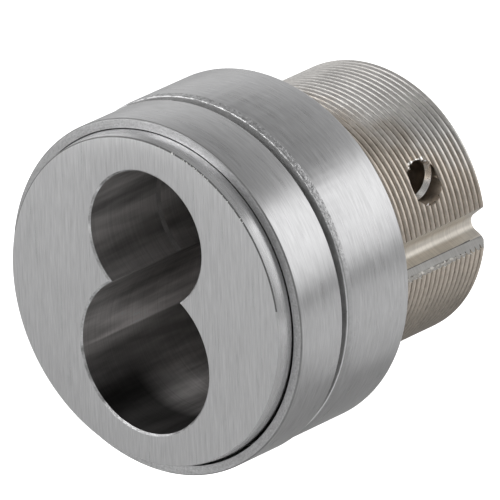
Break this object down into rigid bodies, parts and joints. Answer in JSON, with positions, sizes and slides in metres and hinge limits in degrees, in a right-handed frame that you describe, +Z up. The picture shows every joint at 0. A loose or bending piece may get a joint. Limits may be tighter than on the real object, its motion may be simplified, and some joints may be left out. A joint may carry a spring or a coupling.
{
  "type": "mortise cylinder housing",
  "caption": "Threaded mortise cylinder housing with a figure-eight core bore, sprung compression ring, blocking ring and turning cam.",
  "frame": {"origin": "on the thread's axis, at the shoulder behind the head", "axes": "+Y along the thread's axis, from the face towards the cam, and +Z up with the bore's smaller lobe on top"},
  "size_m": [0.0388, 0.0398, 0.0378],
  "materials": {
    "satin_chrome_brass": "satin chrome plate over brass, brushed face, warm nickel on the thread",
    "ring_chrome": "satin chrome plate, brushed round the ring",
    "spring_steel": "plain spring steel",
    "nickel_plate": "dull nickel plate",
    "screw_steel": "turned steel"
  },
  "bodies": {
    "housing": {"housing": "satin_chrome_brass", "wave_spring": "spring_steel"},
    "compression_ring": {"compression_ring": "ring_chrome"},
    "blocking_ring": {"blocking_ring": "ring_chrome"},
    "cam": {"throw_member": "nickel_plate", "throw_pin_1": "screw_steel", "throw_pin_2": "screw_steel", "cam": "nickel_plate", "cam_screw_1": "screw_steel", "cam_screw_2": "screw_steel"}
  },
  "joints": [
    {"name": "compression_slide", "type": "slide", "parent": "housing", "child": "compression_ring", "axis": [0, 1, 0], "range_m": [-0.0011, 0], "stiffness_N_per_m": 2000, "deforming": ["wave_spring"]},
    {"name": "blocking_slide", "type": "slide", "parent": "compression_ring", "child": "blocking_ring", "axis": [0, 1, 0], "range_m": [-0.0005, 0.018]},
    {"name": "cam_turn", "type": "hinge", "parent": "housing", "child": "cam", "pos_m": [0, 0.03175, -0.00596], "axis": [0, 1, 0], "continuous": true}
  ]
}
